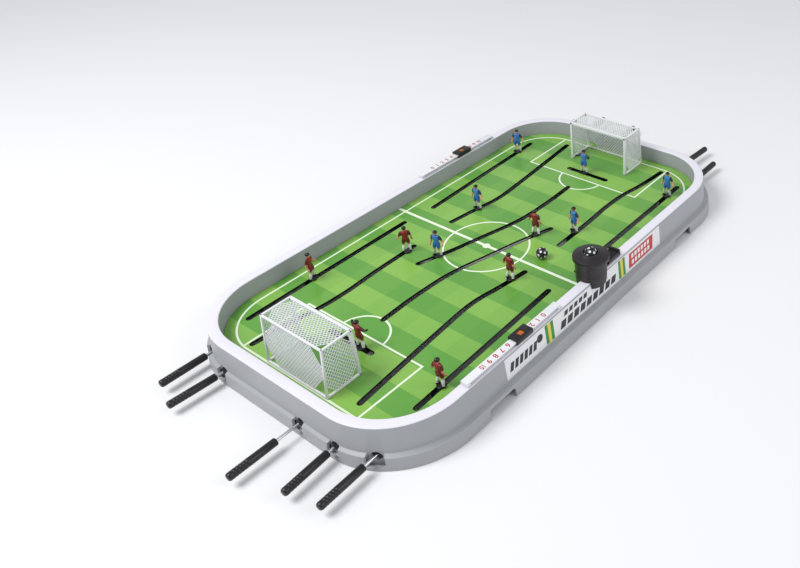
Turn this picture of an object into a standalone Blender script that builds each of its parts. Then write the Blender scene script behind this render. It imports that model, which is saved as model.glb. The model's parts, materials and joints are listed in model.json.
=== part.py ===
"""Tabletop rod-and-slot soccer game: an arena, a slotted pitch, and players on push-and-turn rods.

The origin is the middle of the footprint, on the table that the game stands on. +X runs from the
red team's end to the blue team's end, +Y to the red team's left, and +Z up. Each side is built in
its own frame, where x runs towards the opponents and y to that side's left, and the blue side is
the red side turned half a turn. Sizes are in millimetres until the meshes are made.
"""
import math

import bmesh
import bpy
from mathutils import Matrix, Vector

MM = 0.001

# Arena rim: a flat lip on a double wall that flares out to a stepped skirt.
LIP_LENGTH = 590.0
LIP_WIDTH = 321.0
LIP_CORNER = 80.7
LIP = 11.3
LIP_TOP = 44.5
WALL = 2.4
SKIRT_TOP = 14.5
SKIRT_OUT_END = 7.0
SKIRT_OUT_SIDE = 11.0
CORNER_STEPS = 8
GAP = 0.3

# Pitch board, and the slots that the players' pegs run in.
PITCH_TOP = 24.0
BOARD = 2.4
SLOT_WIDTH = 7.0
SLOT_STEP = 9.0
BOARD_LEDGE = 3.2

# Rods, their holes in the end walls and the grips on their outer ends.
ROD_Z = 12.0
ROD_RADIUS = 1.5
HOLE_X = -295.0
HOLE_RADIUS = 5.0
POCKET_WIDTH = 14.0
POCKET_FLOOR = 3.5
GRIP_RADIUS = 4.0
GRIP_LENGTH = 50.0
GRIP_BORE = 12.0
TURN_REACH = 200.0

# Bevel gears between a rod and its player's peg: cones of 45 degrees about one meeting point.
GEAR_INNER = 1.2
GEAR_OUTER = 4.7
GEAR_BACKLASH = 0.3
PEG_RADIUS = 1.0
PEG_TOP = PITCH_TOP + 0.4
BASE_RADIUS = 4.8
BASE_TOP = PEG_TOP + 1.2
PLAYER_HEIGHT = 35.0

# Keeper's cross slot, and the goals.
KEEPER_X = -204.5
KEEPER_REACH = 30.0
GOAL_FRONT = -229.0
GOAL_TOP_BACK = -265.0
GOAL_FOOT_BACK = -271.0
GOAL_HALF_WIDTH = 45.5
GOAL_HEIGHT = 56.0
GOAL_NET = 1.6
GOAL_POST = 3.6

# Score rails on the rim, with a sliding marker on each.
RAIL_LENGTH = 138.0
RAIL_WIDTH = 9.0
RAIL_RISE = 2.9
RAIL_THICK = 1.6
MARKER = (24.0, 13.0, 6.4)

# Kick-off ball holder, clamped on the rim beside the halfway line.
HOLDER_X = 2.0
HOLDER_Y = -152.0
BALL_RADIUS = 7.0
WELL_RADIUS = 7.8
TONGUE_TOP = 64.8

COLOURS = {
    "rim": ("9A9CA3", 0.45, 0.0), "pitch": ("5C9A3E", 0.5, 0.0), "black": ("141416", 0.4, 0.0),
    "steel": ("C4C6CA", 0.25, 1.0), "white": ("E6E6E6", 0.45, 0.0), "red": ("7E1A1C", 0.5, 0.0),
    "blue": ("2F5FA8", 0.5, 0.0), "grey": ("55585C", 0.5, 0.0),
}

# One rod station for each outfield player. hole_y is where the rod crosses its end wall. turn is the
# rod's direction in radians when it reaches 200 mm past the hole, and swing is how much it turns for
# each further millimetre. route is the middle line of the slot. swivel marks a rod in a swivel bush,
# and stop is how far before the slot's front end that rod's grip meets the wall.
STATIONS = {
    "left_wing": dict(hole_y=119.5, turn=0.0, swing=0.0, swivel=False,
                      route=[(-241, 119.5), (-19, 119.5)]),
    "left_half": dict(hole_y=83.0, turn=-0.0677, swing=0.000298, swivel=True, stop=5.0,
                      route=[(-263, 81.0), (-219, 76.8), (-186, 71.0), (-150, 69.2), (-110, 71.0),
                             (-49, 71.6)]),
    "centre": dict(hole_y=-36.0, turn=0.1726, swing=-0.001153, swivel=True, stop=-4.0,
                   route=[(-162, -0.9), (-120, 0.2), (-77, -1.6), (-50, -6.2), (-13, -16.2), (30, -27.6),
                          (71, -41.2)]),
    "right_half": dict(hole_y=-85.0, turn=0.1169, swing=-0.000754, swivel=True, stop=12.0,
                       route=[(-256, -73.6), (-202, -68.4), (-140, -62.8), (-90, -59.9), (-52, -65.8),
                              (-15, -71.1)]),
    "right_wing": dict(hole_y=-123.7, turn=0.0343, swing=0.0, swivel=False,
                       route=[(-231, -121.5), (-27, -114.5)]),
}

# Where each player stands at rest, as the x of the peg in its side's frame, and the way it faces,
# in degrees from straight at the opponents' goal.
STANCE = {
    "red": {"left_wing": (-158.0, -60.0), "left_half": (-61.0, 50.0), "centre": (51.0, 10.0),
            "right_half": (-34.0, 0.0), "right_wing": (-198.0, 0.0), "keeper": (-16.0, 0.0)},
    "blue": {"left_wing": (-215.0, 0.0), "left_half": (-82.0, -15.0), "centre": (47.0, 15.0),
             "right_half": (-56.0, 0.0), "right_wing": (-202.0, 20.0), "keeper": (-5.0, 0.0)},
}
# Bare rod between the end wall and the grip of a wing rod at rest.
WING_BARE = {"left_wing": 8.0, "right_wing": 14.0}
# Middle of each score rail along x, and the side that it is on.
RAILS = {"near": (-131.0, -1), "far": (116.0, 1)}
SIDE_ANGLE = {"red": 0.0, "blue": math.pi}


def clear_scene():
    for thing in list(bpy.data.objects):
        bpy.data.objects.remove(thing, do_unlink=True)


def new_collection(name):
    made = bpy.data.collections.new(name)
    bpy.context.scene.collection.children.link(made)
    return made


clear_scene()
GAME = new_collection("soccer_game")
CUTTERS = new_collection("cutters")


def linear(channel):
    value = channel / 255.0
    return value / 12.92 if value <= 0.04045 else ((value + 0.055) / 1.055) ** 2.4


def make_material(name):
    code, roughness, metallic = COLOURS[name]
    made = bpy.data.materials.new(name)
    made.use_nodes = True
    shader = made.node_tree.nodes["Principled BSDF"]
    channels = [linear(int(code[i:i + 2], 16)) for i in (0, 2, 4)]
    shader.inputs["Base Color"].default_value = (*channels, 1.0)
    shader.inputs["Roughness"].default_value = roughness
    shader.inputs["Metallic"].default_value = metallic
    return made


MATERIALS = {name: make_material(name) for name in COLOURS}


def finish_mesh(bm, name="shape"):
    """Turn a bmesh in millimetres into a mesh in metres."""
    bmesh.ops.recalc_face_normals(bm, faces=bm.faces)
    bmesh.ops.scale(bm, vec=(MM, MM, MM), verts=bm.verts)
    mesh = bpy.data.meshes.new(name)
    bm.to_mesh(mesh)
    bm.free()
    return mesh


def box(low, high):
    bm = bmesh.new()
    bmesh.ops.create_cube(bm, size=1.0)
    size = [b - a for a, b in zip(low, high)]
    middle = [(a + b) / 2 for a, b in zip(low, high)]
    bmesh.ops.scale(bm, vec=size, verts=bm.verts)
    bmesh.ops.translate(bm, vec=middle, verts=bm.verts)
    return finish_mesh(bm)


def bar(start, end, start_radius, end_radius, sides):
    """A round or tapered bar between two points."""
    start, end = Vector(start), Vector(end)
    along = end - start
    bm = bmesh.new()
    bmesh.ops.create_cone(bm, cap_ends=True, segments=sides, radius1=start_radius, radius2=end_radius,
                          depth=along.length)
    turn = along.to_track_quat("Z", "Y").to_matrix()
    bmesh.ops.rotate(bm, matrix=turn, verts=bm.verts)
    bmesh.ops.translate(bm, vec=(start + end) / 2, verts=bm.verts)
    return finish_mesh(bm)


def ball(centre, radius, rings=8, stretch=(1.0, 1.0, 1.0)):
    bm = bmesh.new()
    bmesh.ops.create_uvsphere(bm, u_segments=rings + 4, v_segments=rings, radius=radius)
    bmesh.ops.scale(bm, vec=stretch, verts=bm.verts)
    bmesh.ops.translate(bm, vec=centre, verts=bm.verts)
    return finish_mesh(bm)


def turned(profile, sides):
    """A turned solid about z from (radius, z) points that run down its outer side."""
    bm = bmesh.new()
    ring = [bm.verts.new((radius, 0.0, z)) for radius, z in profile]
    edges = [bm.edges.new(pair) for pair in zip(ring, ring[1:])]
    if profile[0][0] > 0.0:
        edges.append(bm.edges.new((ring[-1], ring[0])))
    bmesh.ops.scale(bm, vec=(MM, MM, MM), verts=bm.verts)
    mesh = bpy.data.meshes.new("profile")
    bm.to_mesh(mesh)
    bm.free()
    shape = bpy.data.objects.new("profile", mesh)
    CUTTERS.objects.link(shape)
    screw = shape.modifiers.new("screw", "SCREW")
    screw.steps = sides
    screw.render_steps = sides
    screw.use_merge_vertices = True
    screw.merge_threshold = 0.00001
    return evaluated(shape)


def evaluated(shape):
    """The shape's mesh with its modifiers applied, with its faces pointing out. The shape is removed."""
    bpy.context.view_layer.update()
    mesh = bpy.data.meshes.new_from_object(shape.evaluated_get(bpy.context.evaluated_depsgraph_get()))
    bpy.data.objects.remove(shape, do_unlink=True)
    bm = bmesh.new()
    bm.from_mesh(mesh)
    bmesh.ops.recalc_face_normals(bm, faces=bm.faces)
    bm.to_mesh(mesh)
    bm.free()
    return mesh


def combine(base, *steps):
    """Join or cut meshes in turn: each step is ("UNION" or "DIFFERENCE", mesh)."""
    shape = bpy.data.objects.new("combined", base)
    CUTTERS.objects.link(shape)
    tools = []
    for operation, mesh in steps:
        tool = bpy.data.objects.new("tool", mesh)
        CUTTERS.objects.link(tool)
        tool.display_type = "WIRE"
        tool.hide_render = True
        tools.append(tool)
        step = shape.modifiers.new(operation.lower(), "BOOLEAN")
        step.operation = operation
        step.solver = "EXACT"
        step.object = tool
    made = evaluated(shape)
    for tool in tools:
        bpy.data.objects.remove(tool, do_unlink=True)
    return made


def moved(mesh, place=(0.0, 0.0, 0.0), turn=0.0):
    """A copy of a mesh turned about z and then moved, in millimetres."""
    made = mesh.copy()
    made.transform(Matrix.Translation(Vector(place) * MM) @ Matrix.Rotation(turn, 4, "Z"))
    return made


def axis_frame(name, parent=None, place=(0.0, 0.0, 0.0), turn=0.0):
    empty = bpy.data.objects.new(name, None)
    GAME.objects.link(empty)
    empty.parent = parent
    empty.location = Vector(place) * MM
    empty.rotation_euler = (0.0, 0.0, turn)
    empty.empty_display_size = 0.01
    return empty


def node(name, mesh, finish, parent=None, place=(0.0, 0.0, 0.0), turn=0.0, crease=40.0):
    """Add one part of the game to the scene."""
    if not mesh.materials:
        mesh.materials.append(MATERIALS[finish])
    mesh.materials[0] = MATERIALS[finish]
    mesh.shade_smooth()
    mesh.set_sharp_from_angle(angle=math.radians(crease))
    part = bpy.data.objects.new(name, mesh)
    GAME.objects.link(part)
    part.parent = parent
    part.location = Vector(place) * MM
    part.rotation_euler = (0.0, 0.0, turn)
    return part


# Plan geometry of the rim ----------------------------------------------------------------------

def rounded_rectangle(half_x, half_y, radius):
    """Corner by corner, anticlockwise from +X."""
    points = []
    for quarter, (sign_x, sign_y) in enumerate(((1, 1), (-1, 1), (-1, -1), (1, -1))):
        for step in range(CORNER_STEPS + 1):
            angle = math.radians(90.0 * (quarter + step / CORNER_STEPS))
            points.append((sign_x * (half_x - radius) + radius * math.cos(angle),
                           sign_y * (half_y - radius) + radius * math.sin(angle)))
    return points


def rim_line(end_out, side_out):
    """The lip's outer line, moved out at the ends and at the sides."""
    return rounded_rectangle(LIP_LENGTH / 2 + end_out, LIP_WIDTH / 2 + side_out,
                             LIP_CORNER + (end_out + side_out) / 2)


def wall_at(y, out=0.0):
    """Where the red end wall's line crosses y: its x, and the wall's outward direction in radians."""
    corner_y = LIP_WIDTH / 2 - LIP_CORNER
    over = max(0.0, abs(y) - corner_y)
    radius = LIP_CORNER + out
    slope = math.asin(over / radius)
    x = -(LIP_LENGTH / 2 - LIP_CORNER) - radius * math.cos(slope)
    return x, math.pi - math.copysign(slope, y)


def reach_for(station, x):
    """How far past its hole a rod reaches when its peg is at x."""
    reach = x - HOLE_X
    for _ in range(8):
        reach = (x - HOLE_X) / math.cos(direction(station, reach))
    return reach


def direction(station, reach):
    return station["turn"] + station["swing"] * (reach - TURN_REACH)


# Arena -----------------------------------------------------------------------------------------

def rim_ring():
    """The rim's closed section, lofted round the arena. Each level is (end_out, side_out, z)."""
    levels = [
        (-0.8, -0.8, LIP_TOP), (0.0, 0.0, LIP_TOP - 0.8),
        (1.8, 2.6, SKIRT_TOP + 1.2), (SKIRT_OUT_END - 1.2, SKIRT_OUT_SIDE - 1.6, SKIRT_TOP),
        (SKIRT_OUT_END, SKIRT_OUT_SIDE, 0.0), (SKIRT_OUT_END - WALL, SKIRT_OUT_SIDE - WALL, 0.0),
        (SKIRT_OUT_END - WALL - 1.0, SKIRT_OUT_SIDE - WALL - 1.6, SKIRT_TOP - WALL),
        (1.2, 1.8, SKIRT_TOP - WALL), (1.2, 1.8, 1.5), (-1.2, -0.6, 1.5), (-1.2, -0.6, SKIRT_TOP),
        (-WALL, -WALL, LIP_TOP - WALL), (WALL - LIP, WALL - LIP, LIP_TOP - WALL),
        (WALL - LIP, WALL - LIP, PITCH_TOP - BOARD - GAP - 2.0),
        (-LIP - BOARD_LEDGE, -LIP - BOARD_LEDGE, PITCH_TOP - BOARD - GAP - 2.0),
        (-LIP - BOARD_LEDGE, -LIP - BOARD_LEDGE, PITCH_TOP - BOARD - GAP),
        (-LIP, -LIP, PITCH_TOP - BOARD - GAP), (-LIP, -LIP, LIP_TOP - 0.8), (0.8 - LIP, 0.8 - LIP, LIP_TOP),
    ]
    bm = bmesh.new()
    loops = [[bm.verts.new((x, y, z)) for x, y in rim_line(end_out, side_out)]
             for end_out, side_out, z in levels]
    for loop, following in zip(loops, loops[1:] + loops[:1]):
        for index in range(len(loop)):
            bm.faces.new((loop[index - 1], loop[index], following[index], following[index - 1]))
    return finish_mesh(bm)


def both_ends(meshes):
    """The same cutters at the red end and, turned half a turn, at the blue end."""
    return [moved(mesh, turn=angle) for mesh in meshes for angle in SIDE_ANGLE.values()]


def joined(meshes):
    """One mesh that holds several separate cutters."""
    bm = bmesh.new()
    for mesh in meshes:
        bm.from_mesh(mesh)
    made = bpy.data.meshes.new("cutters")
    bm.to_mesh(made)
    bm.free()
    return made


def arena_rim():
    pockets, holes = [], []
    for station in STATIONS.values():
        y = station["hole_y"]
        x, outward = wall_at(y, out=1.5)
        width = POCKET_WIDTH if station["swivel"] else POCKET_WIDTH + 3.0
        pocket = box((0.0, -width / 2, POCKET_FLOOR), (20.0, width / 2, SKIRT_TOP + 4.0))
        pockets.append(moved(pocket, place=(x, y, 0.0), turn=outward))
        holes.append(bar((x - 12.0, y, ROD_Z), (x + 14.0, y, ROD_Z), HOLE_RADIUS, HOLE_RADIUS, 14))
    # Two cut-outs in the skirt of each long side, where the game is lifted.
    archways = [box((x, -LIP_WIDTH / 2 - 20.0, -2.0), (x + 37.0, -LIP_WIDTH / 2 + 5.0, 11.0))
                for x in (-187.0, 150.0)]
    # A slit in the lip under each score rail.
    half = RAIL_LENGTH / 2 - 6.0
    slits = [box((x - half, sign * 155.0 - 2.2, LIP_TOP - 4.0),
                 (x + half, sign * 155.0 + 2.2, LIP_TOP + 2.0)) for x, sign in RAILS.values()]
    ends = [joined(both_ends(cutters)) for cutters in (pockets, holes, archways)]
    return combine(rim_ring(), *[("DIFFERENCE", cutter) for cutter in ends + [joined(slits)]])


def smooth_route(route):
    """Points along a Catmull-Rom curve through the route's points."""
    points = [Vector(point) for point in route]
    if len(points) == 2:
        return points
    points = [2 * points[0] - points[1]] + points + [2 * points[-1] - points[-2]]
    curve = []
    for before, start, end, after in zip(points, points[1:], points[2:], points[3:]):
        count = max(1, round((end - start).length / SLOT_STEP))
        for step in range(count):
            t = step / count
            square = 2 * before - 5 * start + 4 * end - after
            cube = 3 * start - before - 3 * end + after
            curve.append(0.5 * (2 * start + (end - before) * t + square * t ** 2 + cube * t ** 3))
    curve.append(points[-2])
    return curve


def prism(outline, sweep):
    """The outline's face, extruded along sweep."""
    bm = bmesh.new()
    face = bm.faces.new([bm.verts.new(corner) for corner in outline])
    grown = bmesh.ops.extrude_face_region(bm, geom=[face])["geom"]
    corners = [item for item in grown if isinstance(item, bmesh.types.BMVert)]
    bmesh.ops.translate(bm, vec=sweep, verts=corners)
    return finish_mesh(bm)


def slot_cutter(route):
    """A bar with round ends along the route, standing through the board."""
    line = smooth_route(route)
    half = SLOT_WIDTH / 2
    left, right = [], []
    for index, point in enumerate(line):
        ahead = line[min(index + 1, len(line) - 1)] - line[max(index - 1, 0)]
        across = Vector((-ahead.y, ahead.x)).normalized() * half
        left.append(point + across)
        right.append(point - across)
    far_end = round_end(line[-1], line[-1] - line[-2])
    near_end = round_end(line[0], line[0] - line[1])
    low = PITCH_TOP - BOARD - 2.0
    outline = [(point.x, point.y, low) for point in right + far_end + left[::-1] + near_end]
    return prism(outline, (0.0, 0.0, BOARD + 4.0))


def round_end(centre, ahead):
    start = math.atan2(ahead.y, ahead.x) - math.pi / 2
    steps = [start + math.pi * step / 6 for step in range(1, 6)]
    return [centre + Vector((math.cos(angle), math.sin(angle))) * SLOT_WIDTH / 2 for angle in steps]


def pitch_board():
    inset = -LIP - GAP
    outline = rounded_rectangle(LIP_LENGTH / 2 + inset, LIP_WIDTH / 2 + inset, LIP_CORNER + inset)
    board = prism([(x, y, PITCH_TOP - BOARD) for x, y in outline], (0.0, 0.0, BOARD))
    routes = [station["route"] for station in STATIONS.values()]
    routes.append([(KEEPER_X, -KEEPER_REACH), (KEEPER_X, KEEPER_REACH)])
    slots = [slot_cutter(route) for route in routes]
    return combine(board, ("DIFFERENCE", joined(both_ends(slots))))


def goal_block(inset, front):
    """Solid with the goal's side outline, smaller all round by inset and open-ended below."""
    low = PITCH_TOP + GAP - (5.0 if inset else 0.0)
    top = PITCH_TOP + GOAL_HEIGHT - inset
    half = GOAL_HALF_WIDTH - inset
    outline = [(front, low), (front, top), (GOAL_TOP_BACK + inset, top), (GOAL_FOOT_BACK + inset, low)]
    return prism([(x, -half, z) for x, z in outline], (0.0, 2 * half, 0.0))


def goal():
    """Goal of a side, with its mouth towards +x: a thin net box behind square posts and a crossbar."""
    mouth = box((GOAL_FRONT - GOAL_POST - 2.0, GOAL_POST - GOAL_HALF_WIDTH, PITCH_TOP - 5.0),
                (GOAL_FRONT + 5.0, GOAL_HALF_WIDTH - GOAL_POST, PITCH_TOP + GOAL_HEIGHT - GOAL_POST))
    inside = goal_block(GOAL_NET, GOAL_FRONT - GOAL_POST)
    return combine(goal_block(0.0, GOAL_FRONT), ("DIFFERENCE", inside), ("DIFFERENCE", mouth))


# Rod stations ----------------------------------------------------------------------------------

def bevel_cone(toward):
    """The gear cone that points at the meeting point from the direction toward."""
    near, far = Vector(toward) * GEAR_INNER, Vector(toward) * GEAR_OUTER
    return bar(near, far, GEAR_INNER - GEAR_BACKLASH, GEAR_OUTER - GEAR_BACKLASH, 12)


def rod(length):
    """Rod of a station, back along -x from the gears' meeting point."""
    shaft = bar((-length, 0.0, 0.0), (-GEAR_OUTER + 0.5, 0.0, 0.0), ROD_RADIUS, ROD_RADIUS, 8)
    return combine(bevel_cone((-1.0, 0.0, 0.0)), ("UNION", shaft))


def grip():
    """Grip with a blind bore for the rod's end, from the bore's mouth at x = 0 back along -x."""
    bore = ROD_RADIUS + GAP
    profile = [(0.0, -GRIP_BORE), (bore, -GRIP_BORE), (bore, 0.0), (GRIP_RADIUS - 0.8, 0.0),
               (GRIP_RADIUS, -1.0), (GRIP_RADIUS, 1.0 - GRIP_LENGTH), (GRIP_RADIUS - 1.2, -GRIP_LENGTH),
               (0.0, -GRIP_LENGTH)]
    mesh = turned(profile, 10)
    mesh.transform(Matrix.Rotation(math.pi / 2, 4, "Y"))
    return mesh


def carriage():
    """Gear housing under the board, open below, about the gears' meeting point."""
    roof = 19.0 - ROD_Z
    shell = box((-7.5, -7.0, -6.0), (7.5, 7.0, roof))
    cavity = box((-6.0, -5.5, -8.0), (6.0, 5.5, roof - 1.4))
    collar = bar((0.0, 0.0, roof - 0.7), (0.0, 0.0, 21.0 - ROD_Z), 4.0, 4.0, 12)
    peg_bore = bar((0.0, 0.0, roof - 3.0), (0.0, 0.0, roof + 6.0), PEG_RADIUS + 0.5, PEG_RADIUS + 0.5, 8)
    rod_bore = bar((-9.0, 0.0, 0.0), (-4.0, 0.0, 0.0), ROD_RADIUS + 0.5, ROD_RADIUS + 0.5, 10)
    return combine(shell, ("DIFFERENCE", cavity), ("UNION", collar), ("DIFFERENCE", peg_bore),
                   ("DIFFERENCE", rod_bore))


def swivel_bush():
    """Barrel that turns in the wall's hole, with the rod's bore along x."""
    radius = HOLE_RADIUS - 0.5
    heights = (3.3, 2.0, 0.0, -2.0, -3.3)
    profile = [(0.0, 3.3)] + [(math.sqrt(radius ** 2 - z ** 2), z) for z in heights] + [(0.0, -3.3)]
    bore = bar((-8.0, 0.0, 0.0), (8.0, 0.0, 0.0), ROD_RADIUS + 0.5, ROD_RADIUS + 0.5, 8)
    return combine(turned(profile, 12), ("DIFFERENCE", bore))


def figure(arms):
    """Player that faces +x, standing on z = 0. arms lists each arm's shoulder, elbow and hand."""
    tall = PLAYER_HEIGHT - (BASE_TOP - PITCH_TOP)
    torso = bar((0.0, 0.0, 0.46 * tall), (0.0, 0.0, 0.80 * tall), 3.1, 4.3, 8)
    torso.transform(Matrix.Diagonal((0.62, 1.0, 1.0, 1.0)))
    steps = [("UNION", ball((0.3, 0.0, 0.925 * tall), 2.5, 4)),
             ("UNION", bar((0.0, 0.0, 0.76 * tall), (0.1, 0.0, 0.88 * tall), 1.9, 1.3, 6))]
    for sign in (-1, 1):
        hip, ankle = (0.0, sign * 1.7, 0.52 * tall), (-0.4, sign * 3.9, 0.02 * tall)
        steps.append(("UNION", bar(hip, (0.6, sign * 3.1, 0.25 * tall), 2.1, 1.6, 6)))
        steps.append(("UNION", bar((0.6, sign * 3.0, 0.30 * tall), ankle, 1.5, 1.1, 6)))
        steps.append(("UNION", box((-1.6, sign * 3.9 - 1.2, -0.6), (3.1, sign * 3.9 + 1.2, 1.7))))
    for shoulder, elbow, hand in arms:
        steps.append(("UNION", bar(shoulder, elbow, 1.5, 1.2, 5)))
        steps.append(("UNION", bar(elbow, hand, 1.25, 0.95, 5)))
    return combine(torso, *steps)


RUNNING_ARMS = [((0.0, 3.6, 23.6), (-0.6, 7.2, 19.0), (2.4, 8.6, 17.2)),
                ((0.0, -3.6, 23.6), (-0.4, -5.8, 18.8), (1.2, -6.2, 14.6))]
KEEPER_ARMS = [((0.0, 3.4, 23.8), (1.0, 7.6, 22.4), (2.4, 9.0, 26.6)),
               ((0.0, -3.4, 23.8), (1.0, -7.4, 22.0), (2.6, -9.4, 25.0))]


def outfield_player():
    """Figure, foot disc, peg and bevel gear in one moulding, about the gears' meeting point."""
    peg = bar((0.0, 0.0, GEAR_OUTER - 0.5), (0.0, 0.0, PEG_TOP - ROD_Z + 0.5), PEG_RADIUS, PEG_RADIUS, 8)
    disc = bar((0.0, 0.0, PEG_TOP - ROD_Z), (0.0, 0.0, BASE_TOP - ROD_Z), BASE_RADIUS, BASE_RADIUS - 0.3, 12)
    body = moved(figure(RUNNING_ARMS), place=(0.0, 0.0, BASE_TOP - ROD_Z - 0.2))
    return combine(disc, ("UNION", peg), ("UNION", bevel_cone((0.0, 0.0, 1.0))), ("UNION", body))


def keeper():
    """Goalkeeper with a flat shoe under the board, about its foot on the board."""
    disc = bar((0.0, 0.0, PEG_TOP), (0.0, 0.0, BASE_TOP), BASE_RADIUS, BASE_RADIUS - 0.3, 12)
    neck = box((-2.8, -4.0, 18.8), (2.8, 4.0, PEG_TOP + 0.5))
    shoe = box((-6.0, -6.0, 18.6), (6.0, 6.0, PITCH_TOP - BOARD - 0.4))
    body = moved(figure(KEEPER_ARMS), place=(0.0, 0.0, BASE_TOP - 0.2))
    return combine(disc, ("UNION", neck), ("UNION", shoe), ("UNION", body))


def bare_rod(side, name, station, reach):
    """Length of bare rod outside the end wall at rest."""
    if not station["swivel"]:
        return WING_BARE[name]
    return reach_for(station, station["route"][-1][0]) - reach - station["stop"] + 2.6


def build_side(side, frame, shapes):
    for name, station in STATIONS.items():
        peg_x, facing = STANCE[side][name]
        reach = reach_for(station, peg_x)
        turn = direction(station, reach)
        prefix = side + "_" + name
        hole = axis_frame(prefix + "_hole", frame, (HOLE_X, station["hole_y"], ROD_Z), turn)
        if not station["swivel"]:
            start_x, start_y = station["route"][0]
            hole.location.y = (start_y - math.tan(turn) * (start_x - HOLE_X)) * MM
        end_wall, _ = wall_at(station["hole_y"], out=1.5)
        length = reach + (HOLE_X - end_wall) / math.cos(turn) + bare_rod(side, name, station, reach)
        node(prefix + "_carriage", shapes["carriage"], "grey", hole, (reach, 0.0, 0.0))
        node(prefix + "_rod", rod(length + GRIP_BORE - GAP), "steel", hole, (reach, 0.0, 0.0))
        node(prefix + "_grip", shapes["grip"], "black", hole, (reach - length, 0.0, 0.0))
        node(prefix + "_player", shapes[side], side, hole, (reach, 0.0, 0.0), math.radians(facing) - turn)
        if station["swivel"]:
            node(prefix + "_bush", shapes["bush"], "black", hole)
    keeper_y, facing = STANCE[side]["keeper"]
    node(side + "_keeper_player", shapes[side + "_keeper"], side, frame, (KEEPER_X, keeper_y, 0.0),
         math.radians(facing))
    node(side + "_goal", shapes["goal"], "white", frame)


# Score rails and the kick-off holder -----------------------------------------------------------

def score_rail():
    """Raised strip on two feet, about its middle at the lip's top."""
    half = RAIL_LENGTH / 2
    strip = box((-half, -RAIL_WIDTH / 2, RAIL_RISE), (half, RAIL_WIDTH / 2, RAIL_RISE + RAIL_THICK))
    feet = [box((sign * (half - 2.0) - 2.0, -RAIL_WIDTH / 2, GAP),
                (sign * (half - 2.0) + 2.0, RAIL_WIDTH / 2, RAIL_RISE + 0.5)) for sign in (-1, 1)]
    return combine(strip, *[("UNION", foot) for foot in feet])


def score_marker():
    """Sleeve round the strip, with a window over one number."""
    long, wide, tall = (side / 2 for side in MARKER)
    middle = RAIL_RISE + RAIL_THICK / 2
    sleeve = box((-long, -wide, middle - 2.1), (long, wide, middle - 2.1 + 2 * tall - 1.0))
    channel = box((-long - 2.0, -RAIL_WIDTH / 2 - 0.4, middle - RAIL_THICK / 2 - 0.4),
                  (long + 2.0, RAIL_WIDTH / 2 + 0.4, middle + RAIL_THICK / 2 + 0.4))
    window = box((-3.4, -3.2, middle), (3.4, 3.2, middle + 10.0))
    return combine(sleeve, ("DIFFERENCE", channel), ("DIFFERENCE", window))


def ball_holder():
    """Cup on a clamp, about its own axis: the ball drops down the well and rolls out on the pitch."""
    profile = [(0.0, 74.0), (10.4, 74.0), (11.2, 73.4), (18.4, 71.0), (20.0, 69.6), (20.0, 66.2),
               (17.6, 63.4), (17.0, 40.0), (15.6, 36.0), (0.0, 36.0)]
    body = turned(profile, 20)
    inner, outer = LIP_WIDTH / 2 - LIP - 0.4, LIP_WIDTH / 2 + 1.4
    clamp = box((-30.0, -outer - HOLDER_Y, 30.0), (30.0, -inner - HOLDER_Y, LIP_TOP + GAP))
    well = bar((0.0, 0.0, 56.0), (0.0, 0.0, 80.0), WELL_RADIUS, WELL_RADIUS, 14)
    chute = bar((0.0, 0.0, 62.0), (0.0, 26.0, 40.5), WELL_RADIUS, WELL_RADIUS, 14)
    slot = box((-9.4, -7.6, TONGUE_TOP - 3.2), (40.0, 7.6, TONGUE_TOP + 0.4))
    return combine(body, ("DIFFERENCE", clamp), ("DIFFERENCE", well), ("DIFFERENCE", chute),
                   ("DIFFERENCE", slot))


def kickoff_gate():
    """Tongue under the waiting ball, bent down to a finger tab outside the holder."""
    foot, tab_top, lip_top = LIP_TOP + 0.9, 50.5, 53.0
    outline = [(-9.0, TONGUE_TOP - 2.8), (19.0, TONGUE_TOP - 2.8), (19.0, foot), (46.0, foot),
               (46.0, lip_top), (43.0, lip_top), (43.0, tab_top), (24.0, tab_top),
               (24.0, TONGUE_TOP), (-9.0, TONGUE_TOP)]
    return prism([(x, -7.2, z) for x, z in outline], (0.0, 14.4, 0.0))


def build():
    node("arena_rim", arena_rim(), "rim")
    node("pitch_board", pitch_board(), "pitch")
    shapes = {"carriage": carriage(), "grip": grip(), "bush": swivel_bush(), "goal": goal()}
    for side in SIDE_ANGLE:
        shapes[side] = outfield_player()
        shapes[side + "_keeper"] = keeper()
    for side, angle in SIDE_ANGLE.items():
        build_side(side, axis_frame(side + "_side", turn=angle), shapes)
    for name, (x, sign) in RAILS.items():
        place = (x, sign * 155.0, LIP_TOP)
        node("score_rail_" + name, score_rail(), "white", None, place)
        marker_x = {"near": -120.0, "far": 126.0}[name]
        node("score_marker_" + name, score_marker(), "black", None, (marker_x, sign * 155.0, LIP_TOP))
    node("kickoff_holder", ball_holder(), "black", None, (HOLDER_X, HOLDER_Y, 0.0))
    node("kickoff_gate", kickoff_gate(), "black", None, (HOLDER_X, HOLDER_Y, 0.0))
    node("kickoff_ball", ball((0.0, 0.0, 0.0), BALL_RADIUS), "black", None,
         (HOLDER_X, HOLDER_Y, TONGUE_TOP + BALL_RADIUS + GAP))
    node("match_ball", ball((0.0, 0.0, 0.0), BALL_RADIUS), "black", None,
         (17.0, -71.0, PITCH_TOP + BALL_RADIUS + GAP))


build()
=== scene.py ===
# %% [markdown]
# # A tabletop soccer game with players on rods
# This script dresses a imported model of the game: a moulded arena with a slotted pitch, painted players,
# net goals, score rails and a kick-off ball holder. The first step loads the model as a fixed frame,
# so every new piece can take its place from a part that is already there. Lengths are worked in
# millimetres, as a maker would, and each mesh is scaled to metres when it is finished.

# %% Load the frame
import json
import math

import bmesh
import bpy
from mathutils import Matrix, Vector
from mathutils.bvhtree import BVHTree


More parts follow.
